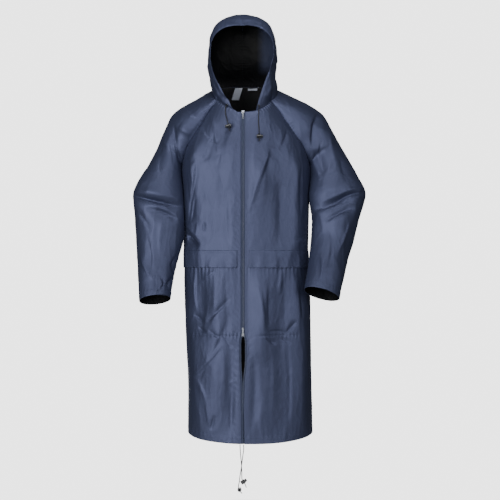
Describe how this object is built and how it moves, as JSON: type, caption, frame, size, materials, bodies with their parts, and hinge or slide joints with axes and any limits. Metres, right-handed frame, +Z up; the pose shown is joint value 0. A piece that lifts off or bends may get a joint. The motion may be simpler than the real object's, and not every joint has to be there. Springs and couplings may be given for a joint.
{
  "type": "hooded raincoat",
  "caption": "Knee-length hooded raincoat in its worn form, with raglan sleeves, a two-way front zip, pocket flaps, and drawcords with spring locks at hood and hem.",
  "frame": {"origin": "between the shoulders at the height of the neck, where the wearer's shoulders hold the coat up", "axes": "+Z up, +X to the wearer's left, -Y out of the front"},
  "size_m": [0.8389, 0.3536, 1.7022],
  "materials": {
    "shell_cloth": "smooth coated nylon, soft sheen",
    "zip_tape": "woven tape",
    "zip_metal": "nickel plated",
    "eyelet_metal": "darkened metal",
    "cord": "braided",
    "lock_plastic": "satin moulded",
    "label": "woven, blank"
  },
  "bodies": {
    "coat": {"back": "shell_cloth", "front_right": "shell_cloth", "front_left": "shell_cloth", "sleeve_right": "shell_cloth", "sleeve_left": "shell_cloth", "hood_right": "shell_cloth", "hood_left": "shell_cloth", "flap_right": "shell_cloth", "flap_left": "shell_cloth", "zip_right": "zip_tape", "zip_left": "zip_tape", "slider_top": "zip_metal", "slider_bottom": "zip_metal", "eyelet_right": "eyelet_metal", "eyelet_left": "eyelet_metal", "hood_cord_right": "cord", "hood_cord_left": "cord", "hem_cord_right": "cord", "hem_cord_left": "cord", "lock_hood_right": "lock_plastic", "lock_hood_left": "lock_plastic", "lock_hem_right": "lock_plastic", "lock_hem_left": "lock_plastic", "neck_label": "label"},
    "top_pull_tab": {"pull_top": "zip_metal"},
    "bottom_pull_tab": {"pull_bottom": "zip_metal"},
    "hood_right_button": {"button_hood_right": "lock_plastic"},
    "hood_left_button": {"button_hood_left": "lock_plastic"},
    "hem_right_button": {"button_hem_right": "lock_plastic"},
    "hem_left_button": {"button_hem_left": "lock_plastic"}
  },
  "joints": [
    {"name": "top_pull_swing", "type": "hinge", "parent": "coat", "child": "top_pull_tab", "pos_m": [-0.00651, -0.11422, -0.05945], "axis": [-1, 0.0065, -0.002], "range_deg": [0, 150]},
    {"name": "bottom_pull_swing", "type": "hinge", "parent": "coat", "child": "bottom_pull_tab", "pos_m": [-0.00642, -0.14698, -0.84331], "axis": [0.9996, -0.0177, 0.0209], "range_deg": [0, 150]},
    {"name": "hood_right_press", "type": "slide", "parent": "coat", "child": "hood_right_button", "axis": [0.9848, 0.0462, 0.1673], "range_m": [0, 0.003], "stiffness_N_per_m": 300, "springref_m": -0.004},
    {"name": "hood_left_press", "type": "slide", "parent": "coat", "child": "hood_left_button", "axis": [-0.9997, -0.0043, -0.022], "range_m": [0, 0.003], "stiffness_N_per_m": 300, "springref_m": -0.004},
    {"name": "hem_right_press", "type": "slide", "parent": "coat", "child": "hem_right_button", "axis": [-0.8359, 0, -0.5489], "range_m": [0, 0.003], "stiffness_N_per_m": 300, "springref_m": -0.004},
    {"name": "hem_left_press", "type": "slide", "parent": "coat", "child": "hem_left_button", "axis": [0, 1, 0], "range_m": [0, 0.003], "stiffness_N_per_m": 300, "springref_m": -0.004}
  ]
}
